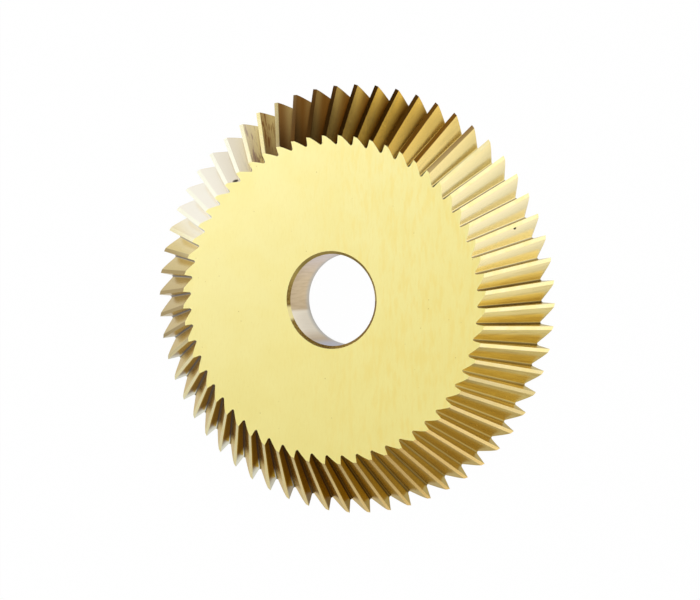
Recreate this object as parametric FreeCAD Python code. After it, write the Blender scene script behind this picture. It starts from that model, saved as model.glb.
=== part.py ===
import FreeCAD, Part
import math
import os
from FreeCAD import Rotation, Vector

# Single-angle bevel milling cutter in one piece of hardened tool steel.
# The flat back face lies on z = 0, the bore runs along Z and the front face looks up.
# The toothed cone is widest at the back face and narrows towards the front.
# Lengths are in millimetres and angles in degrees.

# Blank
outer_diameter = 60.0      # over the tooth tips, at the back face
thickness = 7.3            # back face to front face
bevel_angle = 45.0         # between the toothed cone and the axis

# Arbor bore, plain, with the same small chamfer at both ends
bore_diameter = 12.7
bore_chamfer = 0.4

# Teeth, each as seen along its own cutting edge
tooth_count = 60
edge_skew = 1.8            # turn of a cutting edge round the axis between its two ends
face_slope = 8.5           # tooth face off square to the cone, its foot ahead of the edge
land_width = 0.5           # ground strip behind the cutting edge
land_relief = 11.0         # fall of that strip below the cone
flank_slope = 30.0         # fall of the tooth's back just behind the strip
flank_radius = 9.5         # slight rounding of the back, down to its flat part
gullet_slope = 36.5        # fall of that flat part, which runs to the bottom of the gullet
root_radius = 0.25         # rounding at the bottom of the gullet

axis = Vector(0, 0, 1)
tip_radius = outer_diameter / 2
front_radius = tip_radius - thickness * math.tan(math.radians(bevel_angle))
bore_radius = bore_diameter / 2
pitch_angle = 360 / tooth_count
pitch = math.radians(pitch_angle) * tip_radius


def tan_deg(angle):
    return math.tan(math.radians(angle))


def turn(shape, angle):
    """Copy of a shape turned round the bore's axis."""
    copy = shape.copy()
    copy.rotate(Vector(0, 0, 0), axis, angle)
    return copy


def turned_blank():
    """Disc with a bevelled rim and a chamfered bore, before the teeth are cut."""
    mouth_radius = bore_radius + bore_chamfer
    outline = [
        (mouth_radius, 0),
        (tip_radius, 0),
        (front_radius, thickness),
        (mouth_radius, thickness),
        (bore_radius, thickness - bore_chamfer),
        (bore_radius, bore_chamfer),
    ]
    points = [Vector(radius, 0, height) for radius, height in outline]
    section = Part.Face(Part.makePolygon(points + points[:1]))
    return section.revolve(Vector(0, 0, 0), axis, 360)


class EdgeFrame:
    """Axes of the cutting edge whose tip lies on +X: along it, ahead of it and out of the cone."""

    def __init__(self):
        self.tip = Vector(tip_radius, 0, 0)
        corner = Rotation(axis, -edge_skew).multVec(Vector(front_radius, 0, thickness))
        edge = corner - self.tip
        self.length = edge.Length
        self.along = edge.normalize()
        bevel = math.radians(bevel_angle)
        cone_normal = Vector(math.cos(bevel), 0, math.sin(bevel))
        self.out = (cone_normal - self.along * cone_normal.dot(self.along)).normalize()
        self.ahead = self.along.cross(self.out)

    def point(self, ahead, out):
        """Point of a section square to the edge, a pitch short of the tip."""
        return self.tip - self.along * pitch + self.ahead * ahead + self.out * out

    def bar(self, lines):
        """Straight bar along the edge, a pitch past each of its ends, from its section's lines."""
        section = Part.Face(Part.Wire(lines))
        return section.extrude(self.along * (self.length + 2 * pitch))


def tooth_back(edge, reach):
    """Lines of the tooth's back in the section, from the strip down past the gullet."""
    start = edge.point(-land_width, -land_width * tan_deg(land_relief))
    first = math.radians(flank_slope)
    last = math.radians(gullet_slope)
    points = []
    for slope in (first, (first + last) / 2, last):
        forward = flank_radius * (math.sin(first) - math.sin(slope))
        outward = flank_radius * (math.cos(slope) - math.cos(first))
        points.append(start + edge.ahead * forward + edge.out * outward)
    foot = points[-1] - edge.ahead * reach - edge.out * reach * tan_deg(gullet_slope)
    lines = [Part.Arc(*points).toShape(), Part.makeLine(points[-1], foot)]
    return lines, start, foot


def gullet():
    """Stock milled out between one tooth's back and the face of the tooth behind it."""
    edge = EdgeFrame()
    reach = 2 * pitch
    back, land_end, foot = tooth_back(edge, reach)
    waste_corners = [
        foot,
        edge.point(-reach, reach),
        edge.point(pitch, reach),
        edge.point(pitch, pitch * tan_deg(land_relief)),
        land_end,
    ]
    waste = edge.bar(back + Part.makePolygon(waste_corners).Edges)
    lean = 2 * reach * tan_deg(face_slope)
    tooth_corners = [
        edge.point(-lean, 2 * reach),
        edge.point(lean, -2 * reach),
        edge.point(-reach, -2 * reach),
        edge.point(-reach, 2 * reach),
    ]
    tooth_behind = edge.bar(Part.makePolygon(tooth_corners + tooth_corners[:1]).Edges)
    groove = waste.cut(turn(tooth_behind, -pitch_angle))
    long_edges = [line for line in groove.Edges if line.Length > edge.length]
    root = min(long_edges, key=lambda line: (line.CenterOfMass - edge.tip).dot(edge.out))
    return groove.makeFillet(root_radius, [root])


def cutter():
    """Toothed cutter: the blank with one gullet milled out before each tooth."""
    groove = gullet()
    grooves = [turn(groove, number * pitch_angle) for number in range(tooth_count)]
    return turned_blank().cut(grooves)


os.makedirs("parts", exist_ok=True)
cutter().exportStep("parts/bevel_cutter.step")
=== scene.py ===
import math
import bmesh
import bpy
from mathutils import Matrix, Vector

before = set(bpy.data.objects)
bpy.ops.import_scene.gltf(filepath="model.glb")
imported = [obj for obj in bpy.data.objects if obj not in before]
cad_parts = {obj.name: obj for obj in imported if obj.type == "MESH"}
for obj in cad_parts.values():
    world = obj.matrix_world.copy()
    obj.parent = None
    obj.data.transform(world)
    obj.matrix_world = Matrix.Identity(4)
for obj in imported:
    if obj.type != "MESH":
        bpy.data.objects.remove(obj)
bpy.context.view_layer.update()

# The cutter: one piece of hardened high-speed steel, turned, milled with sixty gullets, ground on
# its flat faces and on the narrow strip behind each cutting edge, then coated all over with a thin
# gold-coloured nitride. The bore is ground to size last, so its wall is bare steel.
outer_radius = 30.0
front_radius = 22.7
thickness = 7.3
tooth_count = 60
edge_skew = math.radians(1.8)
bore_mouth = 7.4
strip_depth = 0.12


class Shade:
    """A value in a material. Arithmetic on it adds the Math node that works it out."""

    def __init__(self, tree, socket):
        self.tree = tree
        self.socket = socket

    @staticmethod
    def node(tree, kind, settings, values, output=0):
        """Adds a node of that kind, its settings first and then the values or links it takes."""
        node = tree.nodes.new("ShaderNode" + kind)
        for name, setting in settings.items():
            setattr(node, name, setting)
        for place, value in values.items():
            if isinstance(value, Shade):
                tree.links.new(value.socket, node.inputs[place])
            else:
                node.inputs[place].default_value = value
        return Shade(tree, node.outputs[output])

    def math(self, operation, *others):
        values = dict(enumerate((self, *others)))
        return self.node(self.tree, "Math", {"operation": operation}, values)

    def __add__(self, other):
        return self.math("ADD", other)

    def __mul__(self, other):
        return self.math("MULTIPLY", other)

    def __sub__(self, other):
        return self.math("SUBTRACT", other)

    def __rsub__(self, other):
        return self * -1.0 + other

    def __truediv__(self, other):
        return self.math("DIVIDE", other)

    def __pow__(self, other):
        return self.math("POWER", other)

    __radd__ = __add__
    __rmul__ = __mul__

    def between(self, start, end):
        """0 at the start value, 1 at the end value and a smooth rise in between."""
        ends = {"Value": self, "From Min": start, "From Max": end}
        if start > end:
            ends = {"Value": self, "From Min": end, "From Max": start, "To Min": 1.0, "To Max": 0.0}
        return self.node(self.tree, "MapRange", {"interpolation_type": "SMOOTHSTEP"}, ends)

    def near(self, middle, reach):
        """1 at the middle value, falling smoothly to 0 at that reach on both sides."""
        return (self - middle).math("ABSOLUTE").between(reach, 0.0)

    def tint(self, first, second):
        """Colour that goes from the first to the second as this value goes from 0 to 1."""
        settings = {"data_type": "RGBA", "clamp_factor": True}
        return self.node(self.tree, "Mix", settings, {0: self, 6: first, 7: second}, output=2)


def start_material(name):
    """New material with its node tree and its surface shader."""
    material = bpy.data.materials.new(name)
    material.use_nodes = True
    tree = material.node_tree
    return material, tree, tree.nodes["Principled BSDF"]


def rgb(red, green, blue):
    """Colour from screen values of 0 to 255."""
    return (*[((value / 255 + 0.055) / 1.055) ** 2.4 for value in (red, green, blue)], 1.0)


def coordinates(vector):
    """The three parts of a vector."""
    return [Shade.node(vector.tree, "SeparateXYZ", {}, {0: vector}, output=axis) for axis in range(3)]


coated_steel, tree, surface = start_material("nitride_coated_steel")
place = Shade.node(tree, "TexCoord", {}, {}, output="Object")
place = Shade.node(tree, "VectorMath", {"operation": "SCALE"}, {0: place, "Scale": 1000.0})
facing = Shade.node(tree, "TexCoord", {}, {}, output="Normal")
x, y, z = coordinates(place)
nx, ny, nz = coordinates(facing)
radius = (x * x + y * y) ** 0.5
clock = y.math("ARCTAN2", x) * (180 / math.pi)

# Where on the cutter a point lies: flat faces, bore and its chamfers, and on the teeth the ground
# strip, the face that cuts, and how deep in the gullet.
flat = (nz * nz).between(0.93, 0.98)
inside = radius.between(bore_mouth + 0.2, bore_mouth - 0.2)
bore_wall = inside * (nz * nz).between(0.2, 0.1)
chamfer = inside * (1 - flat) * (1 - bore_wall)
teeth = (1 - flat) * (1 - inside)
sideways = (x * ny - y * nx) / radius
cutting_face = teeth * sideways.between(0.3, 0.7)
depth = (outer_radius - z - radius) * math.sqrt(0.5)
strip = teeth * (1 - cutting_face) * depth.between(strip_depth + 0.01, strip_depth - 0.01)
gullet = depth.between(0.25, 1.15)

# The angle from the cutting edge at this height, counted in teeth.
share_up = z / thickness
edge_x = outer_radius - share_up * (outer_radius - front_radius * math.cos(edge_skew))
edge_y = share_up * (-front_radius * math.sin(edge_skew))
edge_turn = edge_y.math("ARCTAN2", edge_x) * (180 / math.pi)
from_edge = (clock - edge_turn) * (tooth_count / 360) + tooth_count
tooth = (from_edge + 0.98).math("FLOOR")
own_tint = Shade.node(tree, "TexWhiteNoise", {"noise_dimensions": "1D"}, {"W": tooth})

# Marks of the grinding wheel: fine broken lines across the flat faces, and lines along the teeth.
lay = {"Rotation": (0, 0, math.radians(-14)), "Scale": (3.0, 0.7, 1.0)}
lay_place = Shade.node(tree, "Mapping", {}, {0: place, **lay})
grind = Shade.node(tree, "TexNoise", {}, {"Vector": lay_place, "Scale": 1.6, "Detail": 6.0})
clouds = Shade.node(tree, "TexNoise", {}, {"Vector": place, "Scale": 0.22, "Detail": 4.0})
grain = Shade.node(tree, "TexNoise", {}, {"Vector": place, "Scale": 4.0, "Detail": 5.0})
along_place = Shade.node(tree, "CombineXYZ", {}, {0: depth * 4.0, 1: from_edge * 5.0, 2: z * 0.3})
along = Shade.node(tree, "TexNoise", {}, {"Vector": along_place, "Scale": 1.0, "Detail": 5.0})
patches = Shade.node(tree, "TexNoise", {}, {"Vector": place, "Scale": 0.6, "Detail": 3.0})
pits = Shade.node(tree, "TexVoronoi", {}, {"Vector": place, "Scale": 0.9}, output="Distance")
pits = pits.between(0.09, 0.05) * patches.between(0.5, 0.6)


def stretch(azimuth, reach):
    """1 on the rim at that azimuth, falling smoothly to 0 at that many degrees on both sides."""
    turned = (clock + (540.0 - azimuth)).math("MODULO", 360.0) - 180.0
    return turned.near(0.0, reach)


def spot(px, py, pz, reach):
    """1 close to a point, falling to 0 at that reach."""
    return Shade.node(
        tree, "VectorMath", {"operation": "DISTANCE"}, {0: place, 1: (px, py, pz)}, output="Value"
    ).between(reach, reach * 0.5)


# The teeth are painted with the light round the rim: paler towards +X as highlight, deeper gold
# towards +Y, and browner towards -Y, towards -X and low in the gullets as shade. Each tooth
# differs a little in tone, and so do the lines along it.
highlit_side = stretch(28.0, 40.0)
lagging = clock + gullet * 12.0
shade_and_tone = lagging.between(36.0, -62.0) * lagging.between(-126.0, -80.0) * 0.46
shade_and_tone = shade_and_tone + gullet * (stretch(-125.0, 66.0) * 0.1 + stretch(-87.0, 130.0) * 0.1)
shade_and_tone = shade_and_tone + gullet * stretch(0.0, 22.0) * 0.3
uneven = own_tint * 0.12 + along.between(0.45, 0.75) * 0.18
shade_and_tone = shade_and_tone - 0.05 + uneven * (1 - highlit_side * 0.7)
tooth_gold = highlit_side.tint(rgb(252, 231, 150), rgb(252, 238, 190))
tooth_gold = stretch(78.0, 36.0).tint(tooth_gold, rgb(248, 200, 84))
tooth_gold = shade_and_tone.between(0.0, 0.5).tint(tooth_gold, rgb(206, 180, 106))
tooth_gold = shade_and_tone.between(0.5, 1.0).tint(tooth_gold, rgb(140, 112, 54))
tooth_gold = (stretch(-179.0, 34.0) * 0.95).tint(tooth_gold, rgb(184, 156, 70))

# A few teeth towards +Y are painted dark brown as shade, more widely low in the gullets, and one of
# them has crack-like dark marks. On one stretch of the rim between +Y and -X the teeth are painted
# near white as a highlight.
shade_and_marks = ((clock - 109.0 + gullet * 15.0) / (gullet * 15.0 + 30.0)).near(0.0, 1.0)
shade_and_marks = shade_and_marks + along.between(0.5, 0.62) * stretch(121.0, 9.0) * 0.7
tooth_gold = shade_and_marks.tint(tooth_gold, rgb(128, 84, 22))
glare_stretch = clock.between(118.0, 132.0) * clock.between(166.0, 153.0)
glare_cream = (own_tint * 0.6 + patches * 0.4).tint(rgb(255, 253, 240), rgb(250, 242, 224))
glare_cream = clock.between(144.0, 130.0).tint(glare_cream, rgb(234, 224, 202))
tooth_gold = glare_stretch.tint(tooth_gold, glare_cream)

# In the gullets towards -X and -Y the backs of the teeth are deep gold and their faces are painted
# dark brown as shade. The gullets towards +Y are painted dark as shade, and a thin painted shadow
# lies along the bottom of every gullet.
shaded_slots = stretch(-125.0, 68.0).between(0.0, 0.7)
tooth_gold = (depth.between(0.0, 0.5) * shaded_slots).tint(tooth_gold, rgb(228, 188, 48))
tooth_gold = (cutting_face * depth.between(-0.2, 0.3) * shaded_slots * 0.9).tint(tooth_gold, rgb(96, 60, 14))
tooth_gold = (gullet * stretch(74.0, 18.0) * 0.7).tint(tooth_gold, rgb(84, 50, 8))
root_shadow = (tooth - from_edge).between(0.85, 0.92) * depth.between(0.6, 0.9)
root_shadow = root_shadow * sideways.between(0.97, 0.85)
root_shadow = root_shadow * (1 - glare_stretch * 0.6) * (1 - highlit_side * 0.5) * (1 - stretch(-42.0, 50.0) * 0.6)
tooth_gold = root_shadow.tint(tooth_gold, rgb(60, 34, 6))
# Near the tips, the cutting faces towards -X and -Y are painted near white as a reflection.
tip_reflection = cutting_face * share_up.between(0.3, 0.05) * shaded_slots * clock.between(-98.0, -122.0)
tooth_gold = tip_reflection.tint(tooth_gold, rgb(250, 248, 226))

# A dark nick in one tooth of the highlight stretch, and specks on three others.
marks = spot(-14.85, 16.4, 7.1, 0.55).math("MAXIMUM", spot(25.09, 10.19, 2.78, 0.3))
marks = marks.math("MAXIMUM", spot(27.69, 1.73, 2.11, 0.26))
marks = marks.math("MAXIMUM", spot(-1.9, 23.1, 6.7, 0.2))
tooth_gold = marks.tint(tooth_gold, rgb(60, 46, 16))

# The ground strip behind each edge has its own finish and is painted paler than the tooth, partly as
# highlight. Round the rim it is painted deeper towards -Y, darker towards -X and dark brown towards
# +Y as shade, and near white on the highlight stretch.
strip_gold = patches.between(0.3, 0.7).tint(rgb(254, 242, 186), rgb(253, 237, 168))
strip_gold = stretch(-65.0, 70.0).tint(strip_gold, rgb(246, 208, 130))
strip_gold = stretch(180.0, 26.0).between(0.0, 0.6).tint(strip_gold, rgb(158, 130, 46))
shaded_strip = clock.between(120.0, 105.0) * clock.between(44.0, 56.0)
strip_gold = shaded_strip.tint(strip_gold, rgb(120, 80, 24))
strip_gold = glare_stretch.tint(strip_gold, rgb(255, 253, 232))

# The flat faces are even and pale, painted palest towards -X and +Y as highlight and a little deeper
# in colour towards -Y, with fine grinding marks and a few pits.
highlight_falloff = (x * 0.5 - y * 0.9).between(-24.0, 24.0)
face_gold = highlight_falloff.tint(rgb(253, 243, 174), rgb(254, 242, 157))
face_gold = (clouds.between(0.3, 0.7) * 0.3).tint(face_gold, rgb(248, 232, 142))
face_gold = (grind.between(0.45, 0.75) * 0.12).tint(face_gold, rgb(236, 216, 124))
smears = Shade.node(tree, "TexNoise", {}, {"Vector": lay_place, "Scale": 0.5, "Detail": 5.0})
smears = smears.between(0.42, 0.7) * x.between(-12.0, 12.0) * 0.45
face_gold = smears.tint(face_gold, rgb(250, 228, 130))
face_gold = (pits * 0.5).tint(face_gold, rgb(190, 164, 84))

# The bore's bare wall is smooth and streaked along its length, with one bright stretch painted on as
# a reflection and a cooler, darker grey painted deep towards the back as shade. Its chamfers are
# darker than the faces, with a painted highlight on one side.
bore_angle = y.math("ARCTAN2", x * -1.0) * (180 / math.pi)
streak_place = Shade.node(tree, "CombineXYZ", {}, {0: bore_angle * 0.35, 1: z * 0.25})
streaks = Shade.node(tree, "TexNoise", {}, {"Vector": streak_place, "Scale": 1.0, "Detail": 5.0})
bore_steel = bore_angle.between(20.0, 75.0).tint(rgb(214, 190, 150), rgb(206, 190, 184))
bore_steel = (streaks.between(0.4, 0.7) * 0.5).tint(bore_steel, rgb(186, 160, 118))
bore_reflection = bore_angle.between(-12.0, -17.0) * bore_angle.between(-64.0, -38.0)
bore_steel = (bore_reflection * (0.75 + streaks * 0.5)).tint(bore_steel, rgb(255, 244, 222))
bore_steel = bore_angle.between(-58.0, -76.0).tint(bore_steel, rgb(196, 194, 204))
deep_shade_steel = bore_angle.between(-60.0, 60.0).tint(rgb(200, 198, 190), rgb(176, 172, 162))
bore_steel = z.between(2.2, 0.2).tint(bore_steel, deep_shade_steel)
chamfer_gold = grain.between(0.35, 0.65).tint(rgb(122, 94, 42), rgb(158, 132, 70))
chamfer_gold = bore_angle.between(0.0, 40.0).tint(chamfer_gold, rgb(184, 162, 92))
lit_chamfer = bore_angle.near(-17.0, 13.0).between(0.0, 0.6)
chamfer_gold = lit_chamfer.tint(chamfer_gold, rgb(250, 236, 170))

# All the finishes together.
colour = teeth.tint(face_gold, tooth_gold)
colour = strip.tint(colour, strip_gold)
colour = chamfer.tint(colour, chamfer_gold)
colour = bore_wall.tint(colour, bore_steel)

roughness = 0.33 + grind * 0.1 - teeth * 0.13 - bore_wall * 0.06
height = grind * flat * 0.7 + along * teeth * 0.6 + grain * 0.2 - pits * flat * 0.8
bump = Shade.node(tree, "Bump", {}, {"Strength": 0.15, "Distance": 0.00002, "Height": height})
surface.inputs["Metallic"].default_value = 1.0
tree.links.new(colour.socket, surface.inputs["Base Color"])
tree.links.new(roughness.socket, surface.inputs["Roughness"])
tree.links.new(bump.socket, surface.inputs["Normal"])

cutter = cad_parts["bevel_cutter"]
for holder in cutter.material_slots:
    holder.material = coated_steel

# The table that the cutter lies on: one plain white sheet, wider than the view. The metal mirrors
# it white close by and towards the pale walls on the left and the right, and dark elsewhere. It lies
# a hair below the cutter and is clear from below, so that the cutter's back can be seen.
sheet_gap = 0.00001
mesh = bmesh.new()
bmesh.ops.create_grid(mesh, x_segments=1, y_segments=1, size=3.0)
bmesh.ops.translate(mesh, verts=mesh.verts, vec=(0, 0, -sheet_gap))
sheet_mesh = bpy.data.meshes.new("table_sheet")
mesh.to_mesh(sheet_mesh)
mesh.free()
sheet = bpy.data.objects.new("table_sheet", sheet_mesh)
bpy.context.scene.collection.objects.link(sheet)


def towards(x, y, azimuth, reach):
    """1 in directions near that azimuth, falling softly to 0 at that reach on both sides of it."""
    azimuth = math.radians(azimuth)
    along = (x * math.cos(azimuth) + y * math.sin(azimuth)) / (x * x + y * y) ** 0.5
    return along.between(math.cos(math.radians(reach + 15)), math.cos(math.radians(reach - 15)))


def mix(tree, share, first, second):
    """Surface or light that goes from the first to the second as the share goes from 0 to 1."""
    return Shade.node(tree, "MixShader", {}, {0: share, 1: first, 2: second})


white_sheet, tree, surface = start_material("white_sheet")
place = Shade.node(tree, "TexCoord", {}, {}, output="Object")
x, y, z = coordinates(place)
by_camera = Shade.node(tree, "LightPath", {}, {}, output="Is Camera Ray")
by_gloss = Shade.node(tree, "LightPath", {}, {}, output="Is Glossy Ray")
fibres = Shade.node(tree, "TexNoise", {}, {"Vector": place, "Scale": 900.0})
surface.inputs["Roughness"].default_value = 0.9
surface.inputs["Specular IOR Level"].default_value = 0.0
paper = fibres.between(0.3, 0.7).tint(rgb(222, 222, 222), rgb(228, 228, 228))
tree.links.new(paper.socket, surface.inputs["Base Color"])
close_by = ((x * x + y * y) ** 0.5).between(0.052, 0.038)
beyond = towards(x, y, 165, 50).math("MAXIMUM", towards(x, y, -5, 50) * 0.82)
beyond = beyond.math("MAXIMUM", towards(x, y, -100, 40) * 0.3)
# Close by, the sheet as the metal mirrors it is painted dimmer away from the -X and +Y side, as the
# cutter's own shadow.
mirrored = close_by * (0.68 + towards(x, y, 150, 35) * 0.25) + beyond * (1 - close_by)
white = Shade.node(tree, "Emission", {}, {"Color": (1, 1, 1, 1), "Strength": 1.0})
dark = Shade.node(tree, "Emission", {}, {"Color": (1.0, 0.7, 0.4, 1), "Strength": 0.03})
own = mix(tree, by_gloss, Shade(tree, surface.outputs[0]), mix(tree, mirrored, dark, white))
own = mix(tree, by_camera * 0.99, own, white)
from_below = Shade.node(tree, "NewGeometry", {}, {}, output="Backfacing")
own = mix(tree, from_below, own, Shade.node(tree, "BsdfTransparent", {}, {}))
tree.links.new(own.socket, tree.nodes["Material Output"].inputs["Surface"])
sheet_mesh.materials.append(white_sheet)


# Studio light: one broad lamp overhead, and a long strong one behind the cutter on its left.
def soft_box(name, azimuth, elevation, distance, width, height, brightness, tint):
    """Area lamp that faces the cutter from there. Its brightness is as it is seen in a mirror."""
    lamp = bpy.data.lights.new(name, "AREA")
    lamp.shape = "RECTANGLE"
    lamp.size = width
    lamp.size_y = height
    lamp.energy = brightness * math.pi * width * height
    lamp.color = tint
    azimuth, elevation = math.radians(azimuth), math.radians(elevation)
    across = math.cos(elevation)
    direction = (across * math.cos(azimuth), across * math.sin(azimuth), math.sin(elevation))
    direction = Vector(direction)
    holder = bpy.data.objects.new(name, lamp)
    holder.location = direction * distance
    holder.rotation_euler = direction.to_track_quat("Z", "Y").to_euler()
    holder.visible_camera = False
    bpy.context.scene.collection.objects.link(holder)


soft_box("overhead_lamp", 0, 90, 0.8, 1.0, 1.0, 0.72, (1.0, 1.0, 1.0))
soft_box("back_lamp", 134, 42, 0.8, 1.4, 0.34, 5.0, (1.0, 1.0, 1.0))

# The studio round it all: white behind the table to the camera, and to the metal a dark room with
# pale walls low on the left and the right, and a small one in front.
studio = bpy.data.worlds.new("studio")
studio.use_nodes = True
tree = studio.node_tree
place = Shade.node(tree, "TexCoord", {}, {}, output="Generated")
x, y, z = coordinates(place)
by_camera = Shade.node(tree, "LightPath", {}, {}, output="Is Camera Ray")
low = z.between(0.56, 0.44)
walls = (towards(x, y, 153, 30) * low).math("MAXIMUM", towards(x, y, 8, 62) * low * 0.5)
walls = walls.math("MAXIMUM", towards(x, y, -92, 38) * z.between(0.28, 0.17) * 0.5)
room = Shade.node(tree, "Background", {}, {"Color": (1.0, 0.7, 0.4, 1), "Strength": 0.03})
lit = Shade.node(tree, "Background", {}, {"Color": (1, 1, 1, 1), "Strength": 2.4})
white = Shade.node(tree, "Background", {}, {"Color": (1, 1, 1, 1), "Strength": 1.0})
seen = mix(tree, by_camera, mix(tree, walls, room, lit), white)
tree.links.new(seen.socket, tree.nodes["World Output"].inputs["Surface"])
bpy.context.scene.world = studio

# The camera: a long lens, a little over 0.4 m away, 23 degrees off the bore's axis.
focal_pixels = 3040
picture_width = 700
camera_data = bpy.data.cameras.new("camera")
camera_data.sensor_width = 36.0
camera_data.lens = focal_pixels * camera_data.sensor_width / picture_width
camera_data.clip_end = 20.0
camera = bpy.data.objects.new("camera", camera_data)
tilt, lean, turn = 22.868, -1.213, 1.17
aim = (
    Matrix.Rotation(math.radians(turn), 4, "Z")
    @ Matrix.Rotation(math.radians(lean), 4, "X")
    @ Matrix.Rotation(math.radians(tilt), 4, "Y")
)
eye = Vector((-0.0088, -0.0053, 14.18)) * 0.03
camera.matrix_world = aim @ Matrix.Translation(eye)
bpy.context.scene.collection.objects.link(camera)
bpy.context.scene.camera = camera
bpy.context.scene.view_settings.view_transform = "Standard"
